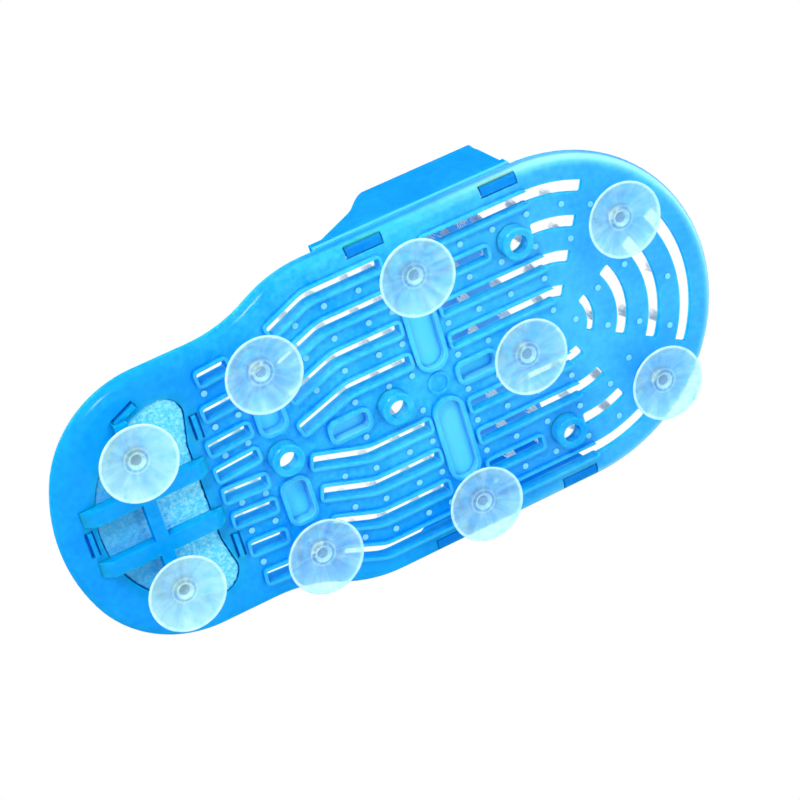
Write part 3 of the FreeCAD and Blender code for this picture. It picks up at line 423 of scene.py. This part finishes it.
def azure(name, heel, toe, pale, shine, is_tray):
    """Cloudy azure plastic, dyed from the heel's to the toe's (deep, pale) pair of colours. The heel's
    pair also lies on the +Y side as painted shade, and a third colour is painted light on the tray's
    rim at the toe or on the strap's inner face."""
    material, tree = new_material(name)
    place = object_space(tree)
    noises = [add_node(tree, "ShaderNodeTexNoise",
                       inputs={"Vector": place, "Scale": pattern_scale(size_mm),
                               "Detail": detail}).outputs["Fac"]
              for size_mm, detail in ((CLOUD_SIZE, 3.0), (FLECK_SIZE, 3.0), (RIPPLE_SIZE, 2.0))]
    mottle = add_node(tree, "ShaderNodeMix", {"data_type": "FLOAT"},
                      {0: FLECK_SHARE, 2: noises[0], 3: noises[1]}).outputs[0]
    in_mm = add_node(tree, "ShaderNodeVectorMath", {"operation": "MULTIPLY"},
                     {0: place, 1: (1 / MM, 1 / MM, 1 / MM)}).outputs[0]
    x, y, _ = add_node(tree, "ShaderNodeSeparateXYZ", inputs={"Vector": in_mm}).outputs

    at_toe = rises(tree, x, *RIM_X)
    # Painted shade: away from the toe, the +Y side takes the heel's deeper colours.
    lit = add_node(tree, "ShaderNodeMath", {"operation": "MAXIMUM"},
                   {0: rises(tree, y, SHADED_Y[1], SHADED_Y[0]), 1: at_toe}).outputs[0]
    dye_and_light = laid_over(tree, all_of(tree, rises(tree, x, HEEL_X, TOE_X), lit),
                    mottled(tree, mottle, heel), mottled(tree, mottle, toe))
    dye_and_light = tray_places(tree, dye_and_light, pale, at_toe, in_mm) if is_tray else strap_places(tree, dye_and_light, pale, in_mm)
    grazing = add_node(tree, "ShaderNodeLayerWeight", inputs={"Blend": 0.5}).outputs["Facing"]
    dye_and_light = laid_over(tree, rises(tree, grazing, *GRAZING), dye_and_light, DEEP_DYE_AND_SHADE)
    # Painted shade: corners found by ambient occlusion are made deeper.
    corner = add_node(tree, "ShaderNodeAmbientOcclusion", {"samples": 6}, {"Distance": CORNER_SHADE_REACH * MM})
    dye_and_light = laid_over(tree, rises(tree, corner.outputs["AO"], *CORNER_SHADE), dye_and_light, DEEP_DYE_AND_SHADE)

    gloss = add_node(tree, "ShaderNodeMapRange", inputs={"Value": noises[2], "To Min": 0.12, "To Max": 0.24})
    bump = add_node(tree, "ShaderNodeBump",
                    inputs={"Height": noises[2], "Strength": 0.3, "Distance": RIPPLE_DEPTH * MM})
    shell = add_node(tree, "ShaderNodeBsdfPrincipled", inputs={
        "Base Color": dye_and_light, "Roughness": gloss.outputs[0], "Normal": bump.outputs[0], "IOR": 1.49,
        "Specular IOR Level": 0.0, "Subsurface Weight": 1.0, "Subsurface Scale": 0.005,
        "Subsurface Radius": (0.1, 0.5, 1.0)})
    sheen = add_node(tree, "ShaderNodeBsdfAnisotropic", inputs={
        "Color": [shine, shine, shine, 1.0], "Roughness": gloss.outputs[0], "Normal": bump.outputs[0]})
    both = add_node(tree, "ShaderNodeAddShader", inputs={0: shell.outputs[0], 1: sheen.outputs[0]})
    add_node(tree, "ShaderNodeOutputMaterial", inputs={"Surface": both.outputs[0]})
    return material


# %% Plastic on the moulded pieces
azure_plastic = azure("azure_moulded_polypropylene", ("0094E2", "0CA6EC"), ("14AAEA", "40C6F4"),
                      "96EAFB", 0.009, True)
strap_plastic = azure("azure_strap_polypropylene", ("007CE2", "0488EA"), ("0480E4", "1090EC"),
                      "80D8F8", 0.006, False)
for name, node in nodes.items():
    if name.startswith(("suction_cup", "bristles", "pumice")):
        continue
    node.data.materials.clear()
    node.data.materials.append(strap_plastic if name == "instep_strap" else azure_plastic)
    print("Azure plastic on", name)

# %% [markdown]
# The cups are soft clear vinyl, slightly milky, and milkiest where they are thick: at the hub, the
# foot of the dish and the lip. A mask says how milky each place is, by its distance from the hub,
# and mixes a clear film with a cloudy skin. That distance comes from a UV map called plan, which
# the cup gets when it is made. Faint streaks run out from the hub, as in flow from a mould.

# %% Clear vinyl: places by their distance from the hub
clear_vinyl, tree = new_material("frosted_soft_vinyl")
PLAN_SPAN = 40.0
centred = add_node(tree, "ShaderNodeVectorMath", {"operation": "SUBTRACT"},
                   {0: add_node(tree, "ShaderNodeTexCoord").outputs["UV"], 1: (0.5, 0.5, 0.0)})
from_hub = add_node(tree, "ShaderNodeVectorMath", {"operation": "LENGTH"}, {0: centred.outputs[0]})
around = add_node(tree, "ShaderNodeVectorMath", {"operation": "NORMALIZE"}, {0: centred.outputs[0]})
DRIFT = 25.0
STREAKS_ROUND = 2.2
drift = add_node(tree, "ShaderNodeVectorMath", {"operation": "MULTIPLY_ADD"},
                 {0: object_space(tree), 1: (DRIFT, DRIFT, DRIFT), 2: around.outputs[0]})
rays = add_node(tree, "ShaderNodeTexNoise",
                inputs={"Vector": drift.outputs[0], "Scale": STREAKS_ROUND, "Detail": 3.0})
print("Vinyl map spans %.0f mm" % PLAN_SPAN)

# %% Clear vinyl: the cloudy skin
HAZE_SIZE = 3.0
HUB_EDGE = (2.2, 1.8)
HUB_STRENGTH = 0.8
haze = add_node(tree, "ShaderNodeTexNoise",
                inputs={"Vector": object_space(tree), "Scale": pattern_scale(HAZE_SIZE), "Detail": 3.0})
tint = ramp(tree, haze.outputs["Fac"], ((0.3, "B0E8EE"), (0.7, "D2FAFA")))
hub = rises(tree, from_hub.outputs["Value"], HUB_EDGE[0] / PLAN_SPAN, HUB_EDGE[1] / PLAN_SPAN, HUB_STRENGTH)
tint = laid_over(tree, hub, tint, "8FB2C0")
gloss = add_node(tree, "ShaderNodeMapRange",
                 inputs={"Value": haze.outputs["Fac"], "To Min": 0.22, "To Max": 0.36})
skin = add_node(tree, "ShaderNodeBsdfPrincipled", inputs={
    "Base Color": tint, "Roughness": gloss.outputs[0], "IOR": 1.53, "Subsurface Weight": 1.0,
    "Subsurface Scale": 0.001, "Subsurface Radius": (1.0, 1.0, 1.0)})
see_through = add_node(tree, "ShaderNodeBsdfTransparent", inputs={"Color": linear("E8FAFF")})
print("Vinyl haze %.0f mm across" % HAZE_SIZE)

# %% Clear vinyl: how milky it is
# Greys from clear (black) to milky (white), by distance from the hub in mm.
CLOUD_RADII = ((0.0, "B0B0B0"), (1.9, "B0B0B0"), (2.3, "D8D8D8"), (3.1, "D0D0D0"), (3.5, "6C6C6C"),
               (4.2, "747474"), (4.7, "B4B4B4"), (5.3, "7C7C7C"), (9.0, "747474"), (13.6, "909090"),
               (14.5, "E0E0E0"))
STREAK_STRENGTH = 0.16
HEEL_CUP_X = (-75.0, -85.0)
HEEL_CUP_LIGHT = 0.15
RIM_STRENGTH = 0.7
COVER_FOR_LIGHT = 0.12
stops = [(radius / PLAN_SPAN * 2, grey) for radius, grey in CLOUD_RADII]
doubled = add_node(tree, "ShaderNodeMath", {"operation": "MULTIPLY"}, {0: from_hub.outputs["Value"], 1: 2.0})
cloudy = ramp(tree, doubled.outputs[0], stops)
streaks = add_node(tree, "ShaderNodeMapRange", inputs={"Value": rays.outputs["Fac"], "From Min": 0.42,
                                                       "From Max": 0.68, "To Max": STREAK_STRENGTH})
# The two heel cups look milkier in the photograph, over the pale stone. Here they are made
# milkier and paler: painted light.
station = add_node(tree, "ShaderNodeSeparateXYZ", inputs={"Vector": object_space(tree)}).outputs["X"]
lit_heel_cups = rises(tree, station, HEEL_CUP_X[0] * MM, HEEL_CUP_X[1] * MM, HEEL_CUP_LIGHT)
cloudy = add_node(tree, "ShaderNodeMath", {"operation": "ADD", "use_clamp": True}, {0: cloudy, 1: lit_heel_cups})
edge = add_node(tree, "ShaderNodeLayerWeight", inputs={"Blend": 0.35})
rims = add_node(tree, "ShaderNodeMapRange",
                inputs={"Value": edge.outputs["Facing"], "From Min": 0.5, "To Max": RIM_STRENGTH})
cover = add_node(tree, "ShaderNodeMath", {"operation": "ADD"}, {0: cloudy.outputs[0], 1: streaks.outputs[0]})
cover = add_node(tree, "ShaderNodeMath", {"operation": "ADD", "use_clamp": True},
                 {0: cover.outputs[0], 1: rims.outputs[0]})
# Light that passes through a cup meets a clearer film than the eye does, so the tray behind the
# cups stays bright.
path = add_node(tree, "ShaderNodeLightPath")
lighting = add_node(tree, "ShaderNodeMath", {"operation": "MAXIMUM"},
                    {0: path.outputs["Is Shadow Ray"], 1: path.outputs["Is Diffuse Ray"]})
cover = add_node(tree, "ShaderNodeMix", {"data_type": "FLOAT"},
                 {0: lighting.outputs[0], 2: cover.outputs[0], 3: COVER_FOR_LIGHT})
film = add_node(tree, "ShaderNodeMixShader",
                inputs={0: cover.outputs[0], 1: see_through.outputs[0], 2: skin.outputs[0]})
add_node(tree, "ShaderNodeOutputMaterial", inputs={"Surface": film.outputs[0]})
print("Vinyl stops:", len(stops))

# %% [markdown]
# The heel stone is a foamed block, dyed pale blue and sold as pumice. It is dull and gritty, so it
# has a rough skin, a grain of powder-pale specks and small pits. The part of its underside behind
# the heel bar is painted darker and bluer, as in the photograph: painted shade.

# %% Pumice
GRIT_SIZE = 1.2
PORE_SIZE = 1.6
PIT_DEPTH = 0.4
SHADE_BEHIND_BAR = (-104.0, -106.0)
SHADE_BEHIND_BAR_STRENGTH = 0.65
pumice, tree = new_material("dyed_foamed_pumice")
place = object_space(tree)
grit = add_node(tree, "ShaderNodeTexNoise",
                inputs={"Vector": place, "Scale": pattern_scale(GRIT_SIZE), "Detail": 6.0, "Roughness": 0.7})
pores = add_node(tree, "ShaderNodeTexVoronoi", inputs={"Vector": place, "Scale": pattern_scale(PORE_SIZE)})
powder = ramp(tree, grit.outputs["Fac"], ((0.32, "34B8EC"), (0.48, "60D4FA"), (0.68, "AAECFC")))
station = add_node(tree, "ShaderNodeSeparateXYZ", inputs={"Vector": place}).outputs["X"]
# Painted shade: the underside behind the heel bar is made darker and bluer.
shade_behind_bar = all_of(tree, rises(tree, station, SHADE_BEHIND_BAR[0] * MM, SHADE_BEHIND_BAR[1] * MM, SHADE_BEHIND_BAR_STRENGTH),
                rises(tree, faces_up(tree), 0.1, -0.3))
powder = laid_over(tree, shade_behind_bar, powder, "1E8CCC")
bump = add_node(tree, "ShaderNodeBump",
                inputs={"Height": pores.outputs["Distance"], "Strength": 0.5, "Distance": PIT_DEPTH * MM})
bump = add_node(tree, "ShaderNodeBump",
                inputs={"Height": grit.outputs["Fac"], "Strength": 0.6, "Distance": PIT_DEPTH * MM,
                        "Normal": bump.outputs[0]})
stone_skin = add_node(tree, "ShaderNodeBsdfPrincipled", inputs={
    "Base Color": powder, "Roughness": 0.95, "Normal": bump.outputs[0], "Specular IOR Level": 0.2})
add_node(tree, "ShaderNodeOutputMaterial", inputs={"Surface": stone_skin.outputs[0]})
print("Stone grit %.1f mm, pores %.1f mm" % (GRIT_SIZE, PORE_SIZE))

# %% [markdown]
# The filaments are drawn white nylon: smooth, thin and a little see-through, so part of the light
# that falls on a filament comes out on its far side.

# %% Nylon
THROUGH_SHARE = 0.3
nylon, tree = new_material("white_drawn_nylon")
place = object_space(tree)
shade = add_node(tree, "ShaderNodeTexNoise", inputs={"Vector": place, "Scale": pattern_scale(2.0)})
white = ramp(tree, shade.outputs["Fac"], ((0.3, "F0FAFE"), (0.7, "FFFFFF")))
strand = add_node(tree, "ShaderNodeBsdfPrincipled", inputs={
    "Base Color": white, "Roughness": 0.35, "IOR": 1.53})
glow = add_node(tree, "ShaderNodeBsdfTranslucent", inputs={"Color": white})
strand = add_node(tree, "ShaderNodeMixShader",
                  inputs={0: THROUGH_SHARE, 1: strand.outputs[0], 2: glow.outputs[0]})
add_node(tree, "ShaderNodeOutputMaterial", inputs={"Surface": strand.outputs[0]})
print("Nylon made")

# %% [markdown]
# One way to make round pieces is by rings: a filled circle is added, and extruded and scaled ring
# by ring along the profile, as on a lathe. The circle is added without a UV map, so that the map
# made for the piece later is its only one.

# %% Rings of a round piece
def turned(name, rings, sides):
    """Closed round piece from (radius, height) rings in mm, about the Z axis."""
    deselect()
    radius, height = rings[0]
    bpy.ops.mesh.primitive_circle_add(vertices=sides, radius=radius * MM, fill_type="NGON",
                                      calc_uvs=False, location=(0, 0, height * MM))
    piece = bpy.context.object
    piece.name = name
    bpy.ops.object.transform_apply(location=True, rotation=True, scale=True)
    bpy.ops.object.mode_set(mode="EDIT")
    bpy.ops.mesh.select_all(action="SELECT")
    for next_radius, next_height in rings[1:]:
        rise = (next_height - height) * MM
        bpy.ops.mesh.extrude_region_move(TRANSFORM_OT_translate={"value": (0, 0, rise)})
        scale = next_radius / radius
        bpy.ops.transform.resize(value=(scale, scale, 1))
        radius, height = next_radius, next_height
    bpy.ops.mesh.select_all(action="SELECT")
    bpy.ops.mesh.normals_make_consistent(inside=False)
    bpy.ops.object.mode_set(mode="OBJECT")
    return piece


def copy_at(piece, name, place):
    """Copy with its own mesh, its place in the mesh."""
    copy = piece.copy()
    copy.data = piece.data.copy()
    copy.name = name
    scene.collection.objects.link(copy)
    copy.data.transform(place)
    return copy


def join(pieces, name):
    deselect()
    for piece in pieces:
        piece.select_set(True)
    bpy.context.view_layer.objects.active = pieces[0]
    bpy.ops.object.join()
    pieces[0].name = name
    return pieces[0]


def finish(piece, material, replaced):
    """Gives a piece its material and its body, and hides the CAD nodes that it replaces."""
    piece.data.materials.clear()
    piece.data.materials.append(material)
    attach(piece, "root")
    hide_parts(*replaced)


# %% [markdown]
# A suction cup is soft clear vinyl: a thin dish with a flat lip, a thick shoulder, a stem and a
# head that is pulled through the boss. The rings go from the small hub inside the dish, out
# along its underside, round the lip, and back up its outside to the head.

# %% Suction cups
# Radius and height in mm.
UNDERSIDE_RINGS = (
    (0.6, 4.3), (1.9, 4.2), (2.5, 3.9), (2.7, 3.3), (2.95, 3.0), (3.5, 3.0), (3.85, 3.25), (4.6, 3.4),
    (6.6, 3.2), (8.6, 2.7), (10.6, 1.95), (12.4, 1.15), (13.6, 0.5),
)
LIP_RINGS = ((14.2, 0.12), (14.5, 0.0), (14.8, 0.05), (15.0, 0.3), (14.95, 0.6), (14.6, 0.85))
OUTSIDE_RINGS = (
    (13.9, 1.2), (12.4, 2.0), (10.6, 2.85), (8.6, 3.8), (6.9, 4.65), (5.7, 5.3), (5.3, 5.7), (5.3, 6.7),
    (5.0, 7.0),
)
STEM_RINGS = ((3.45, 7.0), (3.45, 11.0))
HEAD_RINGS = ((4.2, 11.0), (4.5, 11.2), (4.5, 11.9), (3.9, 12.7), (3.1, 13.3), (1.2, 13.4))
CUP_RINGS = UNDERSIDE_RINGS + LIP_RINGS + OUTSIDE_RINGS + STEM_RINGS + HEAD_RINGS
CUP_SIDES = 72
cup_model = turned("cup_model", CUP_RINGS, CUP_SIDES)
plan = cup_model.data.uv_layers.new(name="plan")
for loop in cup_model.data.loops:
    corner = cup_model.data.vertices[loop.vertex_index].co / (PLAN_SPAN * MM)
    plan.data[loop.index].uv = (0.5 + corner.x, 0.5 + corner.y)
choose(cup_model)
bpy.ops.object.shade_smooth_by_angle(angle=math.radians(50))
for name in sorted(nodes):
    if not name.startswith("suction_cup"):
        continue
    low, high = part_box(name)
    place = Matrix.Translation(((low.x + high.x) / 2, (low.y + high.y) / 2, 0))
    finish(copy_at(cup_model, "vinyl_" + name, place), clear_vinyl, [name])
bpy.data.objects.remove(cup_model)
print("Suction cups made")

# %% [markdown]
# The stone's shape comes from the CAD model. A copy of it is merged, remeshed into small even
# faces and swollen a little, and then two patterns push its surface inwards again: wide shallow
# waves and round open pores.

# %% Pumice stone
STONE_VOXEL = 0.6 * MM
STONE_SWELL = 0.4 * MM
stone_node = nodes["pumice_stone"]
stone = stone_node.copy()
stone.data = stone_node.data.copy()
stone.name = "foamed_stone"
stone.parent = None
for key in list(stone.keys()):
    del stone[key]
scene.collection.objects.link(stone)
choose(stone)
bpy.ops.object.mode_set(mode="EDIT")
bpy.ops.mesh.select_all(action="SELECT")
bpy.ops.mesh.remove_doubles(threshold=0.001 * MM)
bpy.ops.object.mode_set(mode="OBJECT")
stone.data.remesh_voxel_size = STONE_VOXEL
bpy.ops.object.voxel_remesh()
swell = stone.modifiers.new("stone_swell", "DISPLACE")
swell.strength = STONE_SWELL
swell.mid_level = 0.0
bpy.ops.object.modifier_apply(modifier="stone_swell")
STONE_PATTERNS = (("stone_waves", "CLOUDS", 9.0, 0.2), ("stone_pores", "VORONOI", 2.2, 0.6))
for name, kind, size_mm, depth_mm in STONE_PATTERNS:
    texture = bpy.data.textures.new(name, kind)
    texture.noise_scale = size_mm * MM
    displace = stone.modifiers.new(name, "DISPLACE")
    displace.texture = texture
    displace.texture_coords = "GLOBAL"
    displace.strength = depth_mm * MM
    displace.mid_level = 1.0
    bpy.ops.object.modifier_apply(modifier=name)
bpy.ops.object.shade_smooth()
finish(stone, pumice, ["pumice_stone"])
print("Stone faces:", len(stone.data.polygons))

# %% [markdown]
# A tuft is a few dozen nylon filaments folded into a blind hole in the plate. They leave the
# hole close together and spread towards their cut ends. One filament is made, bent a little,
# and copied round a spiral like the seeds of a sunflower, then the tuft itself is copied.

# %% One filament and one tuft
FILAMENT_RADIUS = 0.15
FILAMENT_SIDES = 5
FILAMENT_BENDS = ((0.25, 0.0), (0.4, 0.15), (0.35, 0.35))
FILAMENTS = 34
TUFT_ROOT = 1.0
SOLE_TUFT = (13.0, 2.2)
STRAP_TUFT = (9.0, 3.6)
TIP_SPARE = 0.5
CUT_STEP = 0.05
CUT_STEPS = 4
ROOT_DEPTH = 1.9
GOLDEN_TURN = math.radians(137.508)


def filament(length):
    """Filament along Z from the bottom of its hole, bent outwards along X near its tip."""
    deselect()
    bpy.ops.mesh.primitive_circle_add(vertices=FILAMENT_SIDES, radius=FILAMENT_RADIUS * MM,
                                      fill_type="NGON", location=(0, 0, -ROOT_DEPTH * MM))
    piece = bpy.context.object
    bpy.ops.object.transform_apply(location=True, rotation=True, scale=True)
    bpy.ops.object.mode_set(mode="EDIT")
    bpy.ops.mesh.select_all(action="SELECT")
    root = ROOT_DEPTH
    for share, sideways in FILAMENT_BENDS:
        rise = root + length * share
        bpy.ops.mesh.extrude_region_move(TRANSFORM_OT_translate={"value": (sideways * MM, 0, rise * MM)})
        root = 0.0
    bpy.ops.mesh.select_all(action="SELECT")
    bpy.ops.mesh.normals_make_consistent(inside=False)
    bpy.ops.object.mode_set(mode="OBJECT")
    return piece


def tuft(name, length, tip):
    """Bundle of filaments with its foot at the origin, pointing up and spreading to a tip radius."""
    model = filament(length)
    strands = []
    for k in range(FILAMENTS):
        spread = math.sqrt((k + 0.5) / FILAMENTS)
        turn = Matrix.Rotation(k * GOLDEN_TURN, 4, "Z")
        lean = Matrix.Rotation(math.atan2((tip - TIP_SPARE - TUFT_ROOT) * spread, length), 4, "Y")
        shorter = Matrix.Scale(1 - CUT_STEP * (k % CUT_STEPS), 4, Vector((0, 0, 1)))
        place = turn @ Matrix.Translation((TUFT_ROOT * spread * MM, 0, 0)) @ lean @ shorter
        strands.append(copy_at(model, "strand", place))
    bpy.data.objects.remove(model)
    return join(strands, name)


sole_tuft = tuft("sole_tuft", *SOLE_TUFT)
strap_tuft = tuft("strap_tuft", *STRAP_TUFT)
print("Faces in a tuft:", len(sole_tuft.data.polygons))

# %% [markdown]
# Each tuft of the CAD model is one solid prism that stands for a bundle. Its ends show where the
# bundle starts and which way it points, and each copy is turned a little further about its own
# axis. The prisms are taken in the order of the mesh, so the turns are the same each time.

# %% Tufts on the sole and under the strap
END_CORNERS = 6
TURN_STEP = 1.1


def separate_solids(node):
    """Corners of every separate solid of a CAD node, in the order of its mesh."""
    mesh = bmesh.new()
    mesh.from_mesh(nodes[node].data)
    bmesh.ops.remove_doubles(mesh, verts=mesh.verts, dist=0.002 * MM)
    mesh.verts.index_update()
    found = []
    taken = set()
    for first in mesh.verts:
        if first.index in taken:
            continue
        taken.add(first.index)
        stack = [first]
        solid = []
        while stack:
            vertex = stack.pop()
            solid.append(vertex.co.copy())
            for edge in vertex.link_edges:
                other = edge.other_vert(vertex)
                if other.index not in taken:
                    taken.add(other.index)
                    stack.append(other)
        found.append(solid)
    mesh.free()
    return found


for name in sorted(nodes):
    if not name.startswith("bristles"):
        continue
    model = strap_tuft if name == "bristles_strap" else sole_tuft
    copies = []
    for solid in separate_solids(name):
        by_height = sorted(solid, key=lambda corner: corner.z)
        low_end = sum(by_height[:END_CORNERS], Vector()) / END_CORNERS
        high_end = sum(by_height[-END_CORNERS:], Vector()) / END_CORNERS
        hangs = name == "bristles_strap"
        foot, end = (high_end, low_end) if hangs else (low_end, high_end)
        axis = (end - foot).normalized()
        turn = Vector((0, 0, 1)).rotation_difference(axis).to_matrix().to_4x4()
        spin = Matrix.Rotation(len(copies) * TURN_STEP, 4, "Z")
        copies.append(copy_at(model, "copy", Matrix.Translation(foot) @ turn @ spin))
    piece = join(copies, "nylon_" + name)
    finish(piece, nylon, [name])
    print(name, len(copies), "tufts,", len(piece.data.polygons), "faces")
bpy.data.objects.remove(sole_tuft)
bpy.data.objects.remove(strap_tuft)
